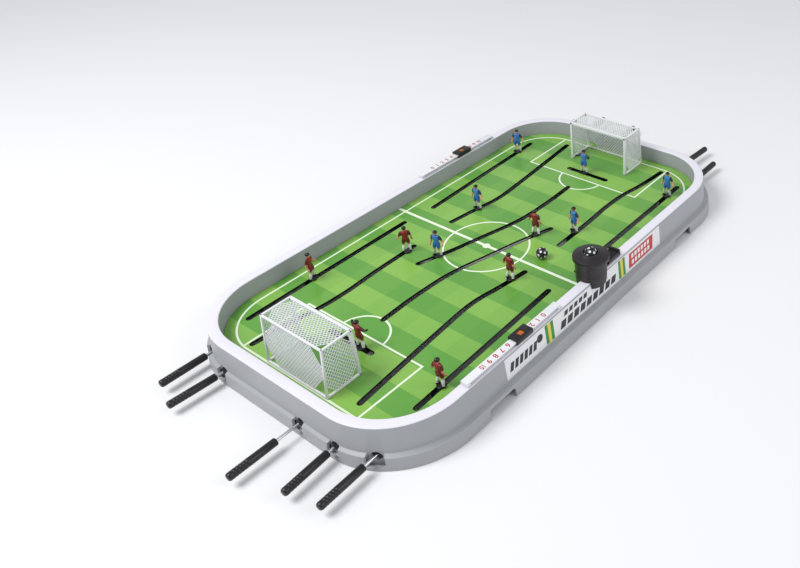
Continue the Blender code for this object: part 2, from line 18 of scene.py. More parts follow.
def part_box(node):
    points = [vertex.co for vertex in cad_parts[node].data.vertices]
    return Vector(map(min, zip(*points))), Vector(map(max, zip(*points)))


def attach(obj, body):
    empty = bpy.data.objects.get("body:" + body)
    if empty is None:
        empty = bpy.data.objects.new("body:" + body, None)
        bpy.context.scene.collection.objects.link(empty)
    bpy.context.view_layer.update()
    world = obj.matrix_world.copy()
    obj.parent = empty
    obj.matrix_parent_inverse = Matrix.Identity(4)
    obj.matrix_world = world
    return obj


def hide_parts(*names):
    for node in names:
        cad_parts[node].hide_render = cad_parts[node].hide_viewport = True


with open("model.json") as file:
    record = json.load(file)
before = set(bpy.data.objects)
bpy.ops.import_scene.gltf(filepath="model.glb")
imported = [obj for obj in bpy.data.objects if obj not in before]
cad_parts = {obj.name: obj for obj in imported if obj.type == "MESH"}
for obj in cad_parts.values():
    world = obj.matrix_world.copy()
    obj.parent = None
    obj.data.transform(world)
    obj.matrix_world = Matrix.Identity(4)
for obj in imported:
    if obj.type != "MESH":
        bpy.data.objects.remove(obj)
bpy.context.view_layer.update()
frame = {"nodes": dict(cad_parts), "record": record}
MM = 0.001
JOINTS = {joint["name"]: joint for joint in frame["record"]["behaviour"]["joints"]}

# %% [markdown]
# ## Helpers
# Two helpers serve every step. One turns a bmesh into a named piece: it scales it to metres, shades it
# smooth between its sharp edges, says which body it rides on, and hides the plain parts that it stands for.
# The other adds a shader node with its settings and links, so that a material reads as a short list.

# %% Make a piece from a bmesh
def make_piece(name, bm, materials, body, replaces=(), sharp=38.0):
    """The finished object of a bmesh that is in millimetres."""
    bmesh.ops.scale(bm, vec=(MM, MM, MM), verts=bm.verts)
    mesh = bpy.data.meshes.new(name)
    bm.to_mesh(mesh)
    bm.free()
    for material in materials:
        mesh.materials.append(material)
    mesh.shade_smooth()
    mesh.set_sharp_from_angle(angle=math.radians(sharp))
    piece = bpy.data.objects.new(name, mesh)
    bpy.context.scene.collection.objects.link(piece)
    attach(piece, body)
    if replaces:
        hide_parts(*replaces)
    return piece


def linear(code, alpha=1.0):
    """An sRGB hex colour as linear RGBA."""
    channels = [int(code[i:i + 2], 16) / 255.0 for i in (0, 2, 4)]
    return tuple(c / 12.92 if c <= 0.04045 else ((c + 0.055) / 1.055) ** 2.4 for c in channels) + (alpha,)


def add_node(tree, kind, inputs=None, **settings):
    """Add a node: settings are its properties, and inputs are values or sockets to link."""
    node = tree.nodes.new(kind)
    for key, value in settings.items():
        setattr(node, key, value)
    for key, value in (inputs or {}).items():
        if isinstance(value, bpy.types.NodeSocket):
            tree.links.new(value, node.inputs[key])
        else:
            node.inputs[key].default_value = value
    return node


def new_material(name, code, roughness, metallic=0.0, ior=1.5):
    material = bpy.data.materials.new(name)
    material.use_nodes = True
    shader = material.node_tree.nodes["Principled BSDF"]
    shader.inputs["Base Color"].default_value = linear(code)
    shader.inputs["Roughness"].default_value = roughness
    shader.inputs["Metallic"].default_value = metallic
    if not metallic:
        shader.inputs["IOR"].default_value = ior
    return material, material.node_tree, shader


# %% [markdown]
# ## Moulded plastics
# The arena is injection-moulded ABS, an opaque plastic with an even, slightly satin skin. A spark-eroded
# mould leaves a grain of about a third of a millimetre, which breaks up the highlights, and the colour
# drifts a little where the melt flowed. Both come from noise on Object coordinates. The grain is drawn
# about twice as coarse as it is, so that it shows.

# %% Plastics with a moulded grain
def moulded_plastic(name, code, roughness, grain_mm=0.8, grain_depth=0.12, drift=0.05):
    material, tree, shader = new_material(name, code, roughness)
    place = add_node(tree, "ShaderNodeTexCoord").outputs["Object"]
    flow = add_node(tree, "ShaderNodeTexNoise", {"Vector": place, "Scale": 14.0, "Detail": 3.0})
    darker = tuple(c * (1.0 - 2 * drift) for c in linear(code)[:3]) + (1.0,)
    tint = add_node(tree, "ShaderNodeMix", {"Factor": flow.outputs["Fac"], 6: darker, 7: linear(code)},
                    data_type="RGBA")
    tree.links.new(tint.outputs[2], shader.inputs["Base Color"])
    grain_scale = 1.0 / (grain_mm * MM)
    grain = add_node(tree, "ShaderNodeTexNoise", {"Vector": place, "Scale": grain_scale, "Detail": 2.0})
    bump = add_node(tree, "ShaderNodeBump", {"Height": grain.outputs["Fac"], "Strength": grain_depth,
                                             "Distance": 0.0002})
    tree.links.new(bump.outputs["Normal"], shader.inputs["Normal"])
    wear = add_node(tree, "ShaderNodeMapRange", {"Value": flow.outputs["Fac"], "To Min": roughness - 0.06,
                                                 "To Max": roughness + 0.08})
    tree.links.new(wear.outputs["Result"], shader.inputs["Roughness"])
    return material


WALL_ABS = moulded_plastic("grey_abs_wall", "A4A6AA", 0.42)
# The lip is the same grey plastic as the wall: its paler colour is a painted highlight where the top faces
# the light.
LIP_ABS_PAINTED_HIGHLIGHT = moulded_plastic("pale_abs_lip_painted_highlight", "E3E1EA", 0.36, drift=0.02)
BLACK_ABS = moulded_plastic("black_abs", "17151A", 0.34)
HOLDER_ABS = moulded_plastic("plum_black_abs", "1F181D", 0.36)
WHITE_ABS = moulded_plastic("white_abs", "E2E3E6", 0.34, drift=0.02)
GEAR_POM = moulded_plastic("dark_acetal", "2A2B2E", 0.45)

# %% [markdown]
# ## Rim
# The real rim is one moulding whose section runs all round: a flat lip, a wall that flares slightly, and
# a stepped skirt. A sweep along a curve would twist the section at the corners, and the skirt stands out
# further at the sides than at the ends, so the section is extruded level by level: a rounded rectangle
# of edges is extruded, and each new ring takes its own outset and height. The corner edges of the
# section are then bevelled, and the rod pockets, rod holes and lifting arches are cut out.

# %% Plan of the rim
HALF_LENGTH, HALF_WIDTH, CORNER = 295.0, 160.5, 80.7
LIP, LIP_TOP, WALL = 11.3, 44.5, 2.4
SKIRT_TOP = 14.5
CORNER_STEPS = 28


def rounded_rectangle(half_x, half_y, radius, steps=CORNER_STEPS):
    points = []
    for quarter, (sign_x, sign_y) in enumerate(((1, 1), (-1, 1), (-1, -1), (1, -1))):
        for step in range(steps + 1):
            angle = math.radians(90.0 * (quarter + step / steps))
            points.append((sign_x * (half_x - radius) + radius * math.cos(angle),
                           sign_y * (half_y - radius) + radius * math.sin(angle)))
    return points


def rim_line(end_out, side_out):
    return rounded_rectangle(HALF_LENGTH + end_out, HALF_WIDTH + side_out, CORNER + (end_out + side_out) / 2)


def extrude_rings(bm, rings):
    """Extrude a ring of edges through the rings of points after it, and close the last on the first."""
    verts = [bm.verts.new(point) for point in rings[0]]
    edges = [bm.edges.new(pair) for pair in zip(verts, verts[1:] + verts[:1])]
    order = {vert: index for index, vert in enumerate(verts)}
    for ring in rings[1:] + rings[:1]:
        made = bmesh.ops.extrude_edge_only(bm, edges=edges)["geom"]
        edges = [item for item in made if isinstance(item, bmesh.types.BMEdge)
                 and not any(vert in order for vert in item.verts)]
        fresh = [item for item in made if isinstance(item, bmesh.types.BMVert)]
        following = {}
        for vert in fresh:
            linked = [edge.other_vert(vert) for edge in vert.link_edges]
            following[vert] = next(order[other] for other in linked if other in order)
        for vert, index in following.items():
            vert.co = ring[index]
        order = following
    bmesh.ops.remove_doubles(bm, verts=bm.verts, dist=0.001)
    bmesh.ops.recalc_face_normals(bm, faces=bm.faces)


# %% Section of the rim, bevelled
OUT_END, OUT_SIDE = 7.0, 11.0
SECTION = [  # (outset at the ends, outset at the sides, height, bevel)
    (0.0, 0.0, LIP_TOP, 0.9), (1.8, 2.6, SKIRT_TOP + 1.2, 0.7),
    (OUT_END - 1.2, OUT_SIDE - 1.6, SKIRT_TOP, 0.8),
    (OUT_END, OUT_SIDE, 0.0, 0.3), (OUT_END - WALL, OUT_SIDE - WALL, 0.0, 0.0),
    (OUT_END - WALL - 1.0, OUT_SIDE - WALL - 1.6, SKIRT_TOP - WALL, 0.0), (1.2, 1.8, SKIRT_TOP - WALL, 0.0),
    (1.2, 1.8, 1.5, 0.0), (-1.2, -0.6, 1.5, 0.0), (-1.2, -0.6, SKIRT_TOP, 0.0),
    (-WALL, -WALL, LIP_TOP - WALL, 0.0),
    (WALL - LIP, WALL - LIP, LIP_TOP - WALL, 0.0), (WALL - LIP, WALL - LIP, 19.3, 0.0),
    (-LIP - WALL, -LIP - WALL, 19.3, 0.0), (-LIP - WALL, -LIP - WALL, 21.3, 0.0), (-LIP, -LIP, 21.3, 0.0),
    (-LIP, -LIP, LIP_TOP, 0.9),
]


def rim_mesh():
    bm = bmesh.new()
    extrude_rings(bm, [[(x, y, z) for x, y in rim_line(end, side)] for end, side, z, _ in SECTION])
    for width in sorted({row[3] for row in SECTION if row[3]}):
        marked = set()
        for end, side, z, bevel in SECTION:
            if bevel == width:
                marked |= {(round(x, 2), round(y, 2), round(z, 2)) for x, y in rim_line(end, side)}
        edges = [edge for edge in bm.edges
                 if all(tuple(round(c, 2) for c in vert.co) in marked for vert in edge.verts)]
        bmesh.ops.bevel(bm, geom=edges, offset=width, segments=3, profile=0.5, affect="EDGES", material=-1,
                        clamp_overlap=True)
    return bm


print("rim section:", len(SECTION), "corners")

# %% Cutters for the pockets, holes and arches
HOLES_Y = (119.5, 83.0, -36.0, -85.0, -123.7)
ROD_Z = 12.0


def box_bm(low, high, bm=None):
    """A box between two corners, added to a bmesh."""
    bm = bm or bmesh.new()
    size = [b - a for a, b in zip(low, high)]
    middle = [(a + b) / 2 for a, b in zip(low, high)]
    bmesh.ops.create_cube(bm, size=1.0, matrix=Matrix.LocRotScale(Vector(middle), None, Vector(size)))
    return bm


def bar_bm(start, end, start_radius, end_radius, sides=32, bm=None):
    """A round bar between two points, added to a bmesh."""
    bm = bm or bmesh.new()
    start, end = Vector(start), Vector(end)
    turn = (end - start).to_track_quat("Z", "Y")
    place = Matrix.LocRotScale((start + end) / 2, turn, None)
    bmesh.ops.create_cone(bm, cap_ends=True, segments=sides, radius1=start_radius, radius2=end_radius,
                          depth=(end - start).length, matrix=place)
    return bm


def wall_at(y, out):
    """The end wall's x at y, and the angle of its outward direction."""
    over = max(0.0, abs(y) - (HALF_WIDTH - CORNER))
    slope = math.asin(over / (CORNER + out))
    x = -(HALF_LENGTH - CORNER) - (CORNER + out) * math.cos(slope)
    return x, math.pi - math.copysign(slope, y)


def pocket_bm(width):
    """Pocket that widens outwards, from x = 0 at the wall."""
    bm = box_bm((0.0, -width / 2, 3.5), (20.0, width / 2, SKIRT_TOP + 4.0))
    outer = [vert for vert in bm.verts if vert.co.x > 10.0]
    bmesh.ops.scale(bm, vec=(1.0, 1.9, 1.0), verts=outer)
    return bm


def cut(piece, cutters, operation="DIFFERENCE"):
    """Cut the piece with bmeshes that are in millimetres, and apply it."""
    bm = bmesh.new()
    for cutter in cutters:
        mesh = bpy.data.meshes.new("cutter")
        bmesh.ops.recalc_face_normals(cutter, faces=cutter.faces)
        cutter.to_mesh(mesh)
        cutter.free()
        bm.from_mesh(mesh)
    bmesh.ops.scale(bm, vec=(MM, MM, MM), verts=bm.verts)
    mesh = bpy.data.meshes.new("cutters")
    bm.to_mesh(mesh)
    bm.free()
    tool = bpy.data.objects.new("cutters", mesh)
    bpy.context.scene.collection.objects.link(tool)
    step = piece.modifiers.new("cut", "BOOLEAN")
    step.operation = operation
    step.solver = "EXACT"
    step.object = tool
    graph = bpy.context.evaluated_depsgraph_get()
    cut_mesh = bpy.data.meshes.new_from_object(piece.evaluated_get(graph))
    piece.modifiers.clear()
    piece.data = cut_mesh
    bpy.data.objects.remove(tool, do_unlink=True)
    return piece


# %% Cut the rim
def rim_cutters():
    pockets, holes, arches = [], [], []
    for half_turn in (0.0, math.pi):
        for y in HOLES_Y:
            x, outward = wall_at(y, 1.5)
            place = Matrix.Rotation(half_turn, 4, "Z")
            pocket = pocket_bm(15.0 if abs(y) > 100.0 else 12.0)
            local = Matrix.Translation((x, y, 0.0)) @ Matrix.Rotation(outward, 4, "Z")
            bmesh.ops.transform(pocket, matrix=place @ local, verts=pocket.verts)
            hole = bar_bm((x - 14.0, y, ROD_Z), (x + 14.0, y, ROD_Z), 5.0, 5.0)
            bmesh.ops.transform(hole, matrix=place, verts=hole.verts)
            pockets.append(pocket)
            holes.append(hole)
        for x in (-187.0, 150.0):
            arch = box_bm((x, -HALF_WIDTH - 20.0, -2.0), (x + 37.0, -HALF_WIDTH + 5.0, 11.0))
            top = [edge for edge in arch.edges if all(vert.co.z > 5.0 for vert in edge.verts)
                   and abs(edge.verts[0].co.x - edge.verts[1].co.x) < 1.0]
            bmesh.ops.bevel(arch, geom=top, offset=3.0, segments=5, profile=0.5, affect="EDGES", material=-1)
            bmesh.ops.rotate(arch, matrix=Matrix.Rotation(half_turn, 3, "Z"), verts=arch.verts)
            arches.append(arch)
    return pockets, holes, arches


rim = make_piece("arena_rim_moulding", rim_mesh(), [WALL_ABS, LIP_ABS_PAINTED_HIGHLIGHT], "arena", ["arena_rim"])
for group in rim_cutters():
    cut(rim, group)
# Faces on the lip take the paler copy of the grey plastic: a painted highlight on the lit top.
for face in rim.data.polygons:
    on_lip = face.center.z > (LIP_TOP - 0.95) * MM
    face.material_index = 1 if on_lip else 0
rim.data.shade_smooth()
rim.data.set_sharp_from_angle(angle=math.radians(30.0))
print("rim:", len(rim.data.polygons), "faces")

# %% [markdown]
# ## Pitch
# The pitch is a board with a glossy print: bands of mown grass across it, and white lines. The board
# itself has the right shape already, so it keeps its mesh and gets a material that draws the print from
# Object coordinates. Each line is where the distance to its shape is less than half its width, which
# keeps every edge crisp at any size. The cut sides of the slots and the underside are painted black: painted
# shade, so that the slots read as dark holes.

# %% Distances in the print
def math_node(tree, operation, *values):
    return add_node(tree, "ShaderNodeMath", dict(enumerate(values)), operation=operation).outputs[0]


def line_mask(tree, distance, half_width):
    """1 where the distance is within half_width of zero."""
    size = math_node(tree, "ABSOLUTE", distance)
    return math_node(tree, "LESS_THAN", size, half_width)


def corner_distance(tree, x, y, half_x, half_y, radius):
    """Signed distance to a rectangle with rounded corners about the middle."""
    over_x = math_node(tree, "SUBTRACT", math_node(tree, "ABSOLUTE", x), half_x - radius)
    over_y = math_node(tree, "SUBTRACT", math_node(tree, "ABSOLUTE", y), half_y - radius)
    out_x, out_y = (math_node(tree, "MAXIMUM", over, 0.0) for over in (over_x, over_y))
    outside = math_node(tree, "SQRT", math_node(tree, "ADD", math_node(tree, "POWER", out_x, 2.0),
                                                math_node(tree, "POWER", out_y, 2.0)))
    inside = math_node(tree, "MINIMUM", math_node(tree, "MAXIMUM", over_x, over_y), 0.0)
    return math_node(tree, "SUBTRACT", math_node(tree, "ADD", outside, inside), radius)


def ring_distance(tree, x, y, centre_x, radius):
    along = math_node(tree, "SUBTRACT", x, centre_x)
    square = math_node(tree, "ADD", math_node(tree, "POWER", along, 2.0), math_node(tree, "POWER", y, 2.0))
    return math_node(tree, "SUBTRACT", math_node(tree, "SQRT", square), radius)


# %% Printed grass and lines
LINE_HALF = 1.1
BAND = 29.5
TOUCH_LINE = (270.8, 137.3, 57.7)
BOX_X, BOX_HALF = 189.3, 86.3


def printed_board():
    material, tree, shader = new_material("printed_board", "6FAE3C", 0.3)
    place = add_node(tree, "ShaderNodeTexCoord").outputs["Object"]
    scaled = add_node(tree, "ShaderNodeVectorMath", {0: place, "Scale": 1.0 / MM}, operation="SCALE")
    axes = add_node(tree, "ShaderNodeSeparateXYZ", {0: scaled.outputs[0]})
    x, y = axes.outputs["X"], axes.outputs["Y"]
    far_x = math_node(tree, "ABSOLUTE", x)
    band = math_node(tree, "PINGPONG", math_node(tree, "ADD", x, 600.0 * BAND), BAND)
    across = math_node(tree, "GREATER_THAN", band, BAND / 2)
    row = math_node(tree, "PINGPONG", math_node(tree, "ADD", y, 600.0 * BAND), 2 * BAND)
    along = math_node(tree, "MULTIPLY", math_node(tree, "GREATER_THAN", row, BAND), 0.14)
    mown = math_node(tree, "ADD", math_node(tree, "MULTIPLY", across, 0.62), along)
    patch = add_node(tree, "ShaderNodeTexNoise", {"Vector": place, "Scale": 9.0, "Detail": 4.0})
    blade = add_node(tree, "ShaderNodeTexNoise", {"Vector": place, "Scale": 900.0, "Detail": 2.0})
    drift = math_node(tree, "MULTIPLY", math_node(tree, "SUBTRACT", patch.outputs["Fac"], 0.5), 0.7)
    fleck = math_node(tree, "MULTIPLY", math_node(tree, "SUBTRACT", blade.outputs["Fac"], 0.5), 0.35)
    shade = math_node(tree, "ADD", mown, math_node(tree, "ADD", drift, fleck))
    grass = add_node(tree, "ShaderNodeMix", {"Factor": shade, 6: linear("5A9A38"), 7: linear("8ABB50")},
                     data_type="RGBA", clamp_factor=True)
    lines = [line_mask(tree, corner_distance(tree, x, y, *TOUCH_LINE), LINE_HALF),
             line_mask(tree, x, 1.9), line_mask(tree, ring_distance(tree, x, y, 0.0, 51.2), LINE_HALF),
             math_node(tree, "LESS_THAN", ring_distance(tree, x, y, 0.0, 4.6), 0.0)]
    inner_line = math_node(tree, "SUBTRACT", far_x, BOX_X)
    within = math_node(tree, "LESS_THAN", math_node(tree, "ABSOLUTE", y), BOX_HALF + LINE_HALF)
    lines.append(math_node(tree, "MULTIPLY", line_mask(tree, inner_line, LINE_HALF), within))
    side_line = math_node(tree, "SUBTRACT", math_node(tree, "ABSOLUTE", y), BOX_HALF)
    behind = math_node(tree, "MULTIPLY", math_node(tree, "GREATER_THAN", far_x, BOX_X),
                       math_node(tree, "LESS_THAN", far_x, TOUCH_LINE[0]))
    lines.append(math_node(tree, "MULTIPLY", line_mask(tree, side_line, LINE_HALF), behind))
    arc = line_mask(tree, ring_distance(tree, far_x, y, 191.9, 30.2), LINE_HALF)
    lines.append(math_node(tree, "MULTIPLY", arc, math_node(tree, "LESS_THAN", far_x, BOX_X)))
    mask = lines[0]
    for line in lines[1:]:
        mask = math_node(tree, "MAXIMUM", mask, line)
    printed = add_node(tree, "ShaderNodeMix", {"Factor": mask, 6: grass.outputs[2], 7: linear("E9F3DC")},
                       data_type="RGBA")
    # Faces that do not face up, the slot sides and the underside, are painted near-black: painted shade in
    # the slots.
    normal = add_node(tree, "ShaderNodeNewGeometry").outputs["Normal"]
    facing = add_node(tree, "ShaderNodeSeparateXYZ", {0: normal})
    top = math_node(tree, "GREATER_THAN", facing.outputs["Z"], 0.5)
    colour = add_node(tree, "ShaderNodeMix", {"Factor": top, 6: linear("0C0D0C"), 7: printed.outputs[2]},
                      data_type="RGBA")
    tree.links.new(colour.outputs[2], shader.inputs["Base Color"])
    shader.inputs["Coat Weight"].default_value = 0.35
    shader.inputs["Coat Roughness"].default_value = 0.12
    return material


def dress(node, material):
    """Give a part that keeps its own mesh a new material."""
    mesh = frame["nodes"][node].data
    mesh.materials.clear()
    mesh.materials.append(material)


dress("pitch_board", printed_board())

# %% [markdown]
# ## Goals
# A goal is a white moulding: square posts and crossbar, edges of the same section, and walls that are
# open lattices rather than thread. Each wall starts as a grid that is turned 45 degrees into diamonds
# and cut to the wall's outline, and bmesh's wireframe operator turns its edges into real struts.

# %% Lattice wall
GOAL = {"front": -229.0, "top_back": -265.0, "foot_back": -271.0, "half": 45.5, "foot": 24.3, "top": 80.0}
CELL_WIDE, CELL_TALL, STRUT = 3.9, 4.8, 2.0
BARS = {"front": 3.4, "frame": 2.2}


def lattice(outline, u_axis, v_axis, origin):
    """Diamond lattice in the plane of two axes, inside a convex outline of (u, v) points."""
    bm = bmesh.new()
    size = max(max(abs(u), abs(v)) for u, v in outline) * 2.0
    count = int(size / CELL_WIDE) + 2
    bmesh.ops.create_grid(bm, x_segments=count, y_segments=count, size=0.5 * count)
    bmesh.ops.rotate(bm, matrix=Matrix.Rotation(math.pi / 4, 3, "Z"), verts=bm.verts)
    half = math.sqrt(0.5)
    bmesh.ops.scale(bm, vec=(CELL_WIDE / 2 / half, CELL_TALL / 2 / half, 1.0), verts=bm.verts)
    for (u0, v0), (u1, v1) in zip(outline, outline[1:] + outline[:1]):
        normal = Vector((v1 - v0, u0 - u1, 0.0)).normalized()
        bmesh.ops.bisect_plane(bm, geom=bm.verts[:] + bm.edges[:] + bm.faces[:], plane_co=(u0, v0, 0.0),
                               plane_no=normal, clear_outer=True, dist=0.001)
    bmesh.ops.wireframe(bm, faces=bm.faces, thickness=STRUT / 2, use_replace=True, use_boundary=True,
                        use_even_offset=True)
    # A cut diamond can stand a hair past the wall, so the lattice is held within its reach.
    for axis, reach in ((0, max(u for u, _ in outline)), (1, max(v for _, v in outline)), (2, 0.0)):
        for vert in bm.verts:
            vert.co[axis] = max(-reach - STRUT / 4, min(reach + STRUT / 4, vert.co[axis]))
    u_axis, v_axis = Vector(u_axis), Vector(v_axis)
    place = Matrix((u_axis, v_axis, u_axis.cross(v_axis))).transposed().to_4x4()
    place.translation = Vector(origin)
    bmesh.ops.transform(bm, matrix=place, verts=bm.verts)
    return bm


def merge_bm(target, source):
    mesh = bpy.data.meshes.new("part")
    source.to_mesh(mesh)
    source.free()
    target.from_mesh(mesh)
    bpy.data.meshes.remove(mesh)


def square_bar(start, end, width, bm):
    """A square bar between two points, with its sides level."""
    start, end = Vector(start), Vector(end)
    turn = (end - start).to_track_quat("Z", "Y")
    size = Vector((width, width, (end - start).length + width * 0.88))
    matrix = Matrix.LocRotScale((start + end) / 2, turn, size)
    made = bmesh.ops.create_cube(bm, size=1.0, matrix=matrix)["verts"]
    edges = list({edge for vert in made for edge in vert.link_edges})
    bmesh.ops.bevel(bm, geom=edges, offset=width * 0.14, segments=2, profile=0.5, affect="EDGES",
                    material=-1)


# %% Build both goals
def goal_bm():
    g = GOAL
    inset = BARS["frame"] / 2
    half, foot, top = g["half"] - inset, g["foot"] + inset, g["top"] - inset
    front = g["front"] - BARS["front"] / 2
    top_back, foot_back = g["top_back"] + inset, g["foot_back"] + inset
    bm = bmesh.new()
    post = g["half"] - BARS["front"] / 2
    bar_z = g["top"] - BARS["front"] / 2
    base = g["foot"] + BARS["front"] / 2
    square_bar((front, -post, bar_z), (front, post, bar_z), BARS["front"], bm)
    for sign in (-1, 1):
        square_bar((front, sign * post, base), (front, sign * post, bar_z), BARS["front"], bm)
        square_bar((front, sign * half, top), (top_back, sign * half, top), BARS["frame"], bm)
        square_bar((top_back, sign * half, top), (foot_back, sign * half, foot), BARS["frame"], bm)
        square_bar((front, sign * half, foot), (foot_back, sign * half, foot), BARS["frame"], bm)
    square_bar((top_back, -half, top), (top_back, half, top), BARS["frame"], bm)
    square_bar((foot_back, -half, foot), (foot_back, half, foot), BARS["frame"], bm)
    depth_top, depth_foot, tall = front - top_back, front - foot_back, top - foot
    lean = math.hypot(foot_back - top_back, tall)
    back_up = ((top_back - foot_back) / lean, 0.0, tall / lean)
    merge_bm(bm, lattice([(-half, -lean / 2), (half, -lean / 2), (half, lean / 2), (-half, lean / 2)],
                         (0.0, 1.0, 0.0), back_up, ((top_back + foot_back) / 2, 0.0, (top + foot) / 2)))
    merge_bm(bm, lattice([(-half, -depth_top / 2), (half, -depth_top / 2), (half, depth_top / 2),
                          (-half, depth_top / 2)], (0.0, 1.0, 0.0), (1.0, 0.0, 0.0),
                         ((front + top_back) / 2, 0.0, top)))
    for sign in (-1, 1):
        outline = [(-depth_foot / 2, -tall / 2), (depth_foot / 2, -tall / 2),
                   (depth_foot / 2, tall / 2), (depth_foot / 2 - depth_top, tall / 2)]
        merge_bm(bm, lattice(outline, (1.0, 0.0, 0.0), (0.0, 0.0, 1.0),
                             ((front + foot_back) / 2, sign * half, (top + foot) / 2)))
    return bm


for side, half_turn in (("red", 0.0), ("blue", math.pi)):
    goal = goal_bm()
    bmesh.ops.rotate(goal, matrix=Matrix.Rotation(half_turn, 3, "Z"), verts=goal.verts)
    piece = make_piece(side + "_goal_net", goal, [WHITE_ABS], "arena", [side + "_goal"])
    print(piece.name, len(piece.data.polygons), "faces")

# %% [markdown]
# ## Players
# The players are small painted mouldings with clothes, skin, hair and boots in their own colours. The
# body is laid out as rounded limbs, then a voxel remesh melts them into one skin, as a mould would, and
# each face takes the paint of the limb that it came from. The foot disc, peg and gear stay crisp.

# %% Paints
def paint(name, code, roughness=0.38):
    return moulded_plastic(name, code, roughness, grain_mm=1.2, grain_depth=0.05, drift=0.04)


PAINTS = {
    "red": {"shirt": paint("crimson_enamel", "8C1A20"), "shorts": paint("crimson_dark_enamel", "6E1418"),
            "sleeve": paint("crimson_sleeve_enamel", "5A1014")},
    "blue": {"shirt": paint("sky_blue_enamel", "3F7FC4"), "shorts": paint("mid_blue_enamel", "2C62AC"),
             "sleeve": paint("navy_enamel", "1B2B55")},
}
COMMON_PAINTS = {"skin": paint("skin_enamel", "C98E6B"), "hair": paint("hair_enamel", "17110D"),
                 "sock": paint("white_enamel", "DDDDDC"), "boot": paint("boot_enamel", "141416"),
                 "glove": paint("glove_enamel", "101012")}
DISC = {side: moulded_plastic(side + "_foot_disc_abs", code, 0.35)
        for side, code in (("red", "1A1416"), ("blue", "14161A"))}

# %% Limbs of a figure
TALL = 33.4
BUILD = (1.18, 1.16, 1.02)  # how much deeper, broader and taller the melted figure is made


def limb(paint_name, *points):
    """A chain of rounded bars: each point is (x, y, z, radius)."""
    bm = bmesh.new()
    for start, end in zip(points, points[1:]):
        bar_bm(start[:3], end[:3], start[3], end[3], 14, bm)
    for x, y, z, radius in points:
        bmesh.ops.create_uvsphere(bm, u_segments=14, v_segments=8, radius=radius,
                                  matrix=Matrix.Translation((x, y, z)))
    return paint_name, bm


def blob(paint_name, centre, size):
    bm = bmesh.new()
    bmesh.ops.create_uvsphere(bm, u_segments=20, v_segments=12, radius=1.0,
                              matrix=Matrix.LocRotScale(Vector(centre), None, Vector(size)))
    return paint_name, bm


def figure_parts(keeper):
    """Painted parts of a figure that faces +x and stands on z = 0."""
    parts = [
        blob("shirt", (0.0, 0.0, 0.70 * TALL), (2.3, 3.9, 4.6)),
        blob("shirt", (0.0, 0.0, 0.77 * TALL), (2.2, 4.4, 2.4)),
        blob("shirt", (0.0, 0.0, 0.60 * TALL), (2.1, 3.2, 2.8)),
        blob("shorts", (0.0, 0.0, 0.50 * TALL), (2.4, 3.5, 2.7)),
        limb("skin", (0.1, 0.0, 0.81 * TALL, 1.25), (0.3, 0.0, 0.88 * TALL, 1.15)),
        blob("skin", (0.55, 0.0, 0.912 * TALL), (2.2, 2.05, 2.6)),
        blob("hair", (0.1, 0.0, 0.94 * TALL), (2.5, 2.3, 2.15)),
        blob("skin", (2.4, 0.0, 0.905 * TALL), (0.5, 0.4, 0.6)),
    ]
    for sign in (-1, 1):
        hip, knee, ankle = (0.0, sign * 1.6), (0.9, sign * 2.7), (-0.5, sign * 3.7)
        parts += [
            limb("shorts", (*hip, 0.50 * TALL, 2.1), (0.54, sign * 2.3, 0.37 * TALL, 2.05)),
            limb("skin", (0.54, sign * 2.3, 0.38 * TALL, 1.55), (*knee, 0.27 * TALL, 1.25)),
            limb("sock", (*knee, 0.25 * TALL, 1.35), (0.0, sign * 3.2, 0.16 * TALL, 1.5),
                 (*ankle, 0.05 * TALL, 1.0)),
            limb("boot", (-1.0, sign * 3.7, 0.035 * TALL, 1.15), (2.0, sign * 4.0, 0.022 * TALL, 1.0)),
        ]
        shoulder = (0.0, sign * 3.7, 23.8 / 33.4 * TALL + 2.2)
        if keeper:
            elbow = (1.2, sign * 7.4, 23.4)
            hand = (2.6, sign * 9.2, 26.6 if sign > 0 else 24.4)
        else:
            elbow = (-0.8, sign * (6.9 if sign > 0 else 5.8), 19.4)
            hand = (2.2, 8.2, 16.9) if sign > 0 else (1.4, -6.4, 14.8)
        middle = [(a + b) / 2 for a, b in zip(shoulder, elbow)]
        parts += [
            limb("sleeve", (*shoulder, 1.55), (*middle, 1.5)),
            limb("glove" if keeper else "skin", (*middle, 1.15), (*elbow, 1.05), (*hand, 0.85)),
            blob("glove" if keeper else "skin", hand, (1.15, 1.1, 1.25)),
        ]
    return parts


# %% Melt the limbs and paint them
VOXEL = 0.34


def figure_mesh(side, keeper):
    """One closed figure in millimetres, its materials by face."""
    names, trees, whole = [], [], bmesh.new()
    for paint_name, bm in figure_parts(keeper):
        names.append(paint_name)
        trees.append(BVHTree.FromBMesh(bm))
        merge_bm(whole, bm)
    mesh = bpy.data.meshes.new("figure")
    whole.to_mesh(mesh)
    whole.free()
    shape = bpy.data.objects.new("figure", mesh)
    bpy.context.scene.collection.objects.link(shape)
    remesh = shape.modifiers.new("melt", "REMESH")
    remesh.mode = "VOXEL"
    remesh.voxel_size = VOXEL
    graph = bpy.context.evaluated_depsgraph_get()
    melted = bpy.data.meshes.new_from_object(shape.evaluated_get(graph))
    bpy.data.objects.remove(shape, do_unlink=True)
    bm = bmesh.new()
    bm.from_mesh(melted)
    for _ in range(2):
        bmesh.ops.smooth_vert(bm, verts=bm.verts, factor=0.5, use_axis_x=True, use_axis_y=True,
                              use_axis_z=True)
    paints = sorted(set(names))
    for face in bm.faces:
        centre = face.calc_center_median()
        nearest = min(range(len(trees)), key=lambda i: trees[i].find_nearest(centre)[3])
        face.material_index = paints.index(names[nearest])
    return bm, [COMMON_PAINTS.get(name) or PAINTS[side][name] for name in paints]


